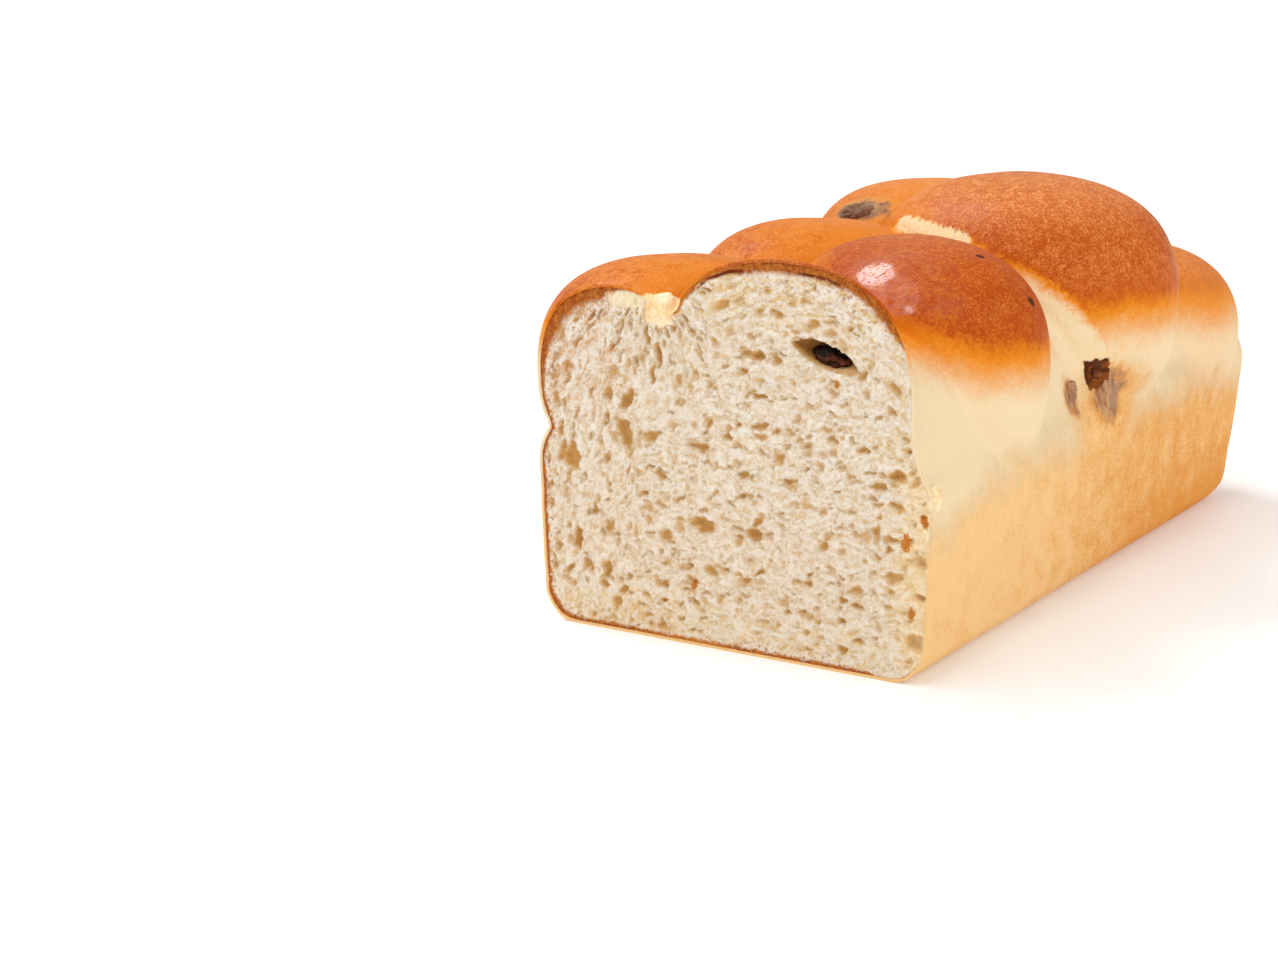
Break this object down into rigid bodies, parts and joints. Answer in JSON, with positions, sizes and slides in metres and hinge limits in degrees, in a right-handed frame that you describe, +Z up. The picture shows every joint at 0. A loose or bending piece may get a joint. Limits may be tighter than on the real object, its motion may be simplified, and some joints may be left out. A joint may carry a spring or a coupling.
{
  "type": "brioche loaf",
  "caption": "Plaited brioche tin loaf with one end sliced off, showing the open crumb and a few raisins.",
  "frame": {"origin": "middle of the bounding box's underside, where the loaf rests", "axes": "+Z up, +Y along the loaf from the cut end to the whole end, +X towards the long side that the picture shows"},
  "size_m": [0.1291, 0.245, 0.109],
  "materials": {
    "crust": "baked brown crust, satin where it was glazed, pale and matt where the strands met",
    "crumb": "open cream crumb, matt",
    "raisin": "wrinkled dark skin, slightly shiny"
  },
  "bodies": {
    "root": {"loaf": "crust", "raisin_cut": "raisin", "raisin_side_front": "raisin", "raisin_side_back": "raisin", "raisin_fold": "raisin", "raisin_top": "raisin"}
  },
  "joints": []
}
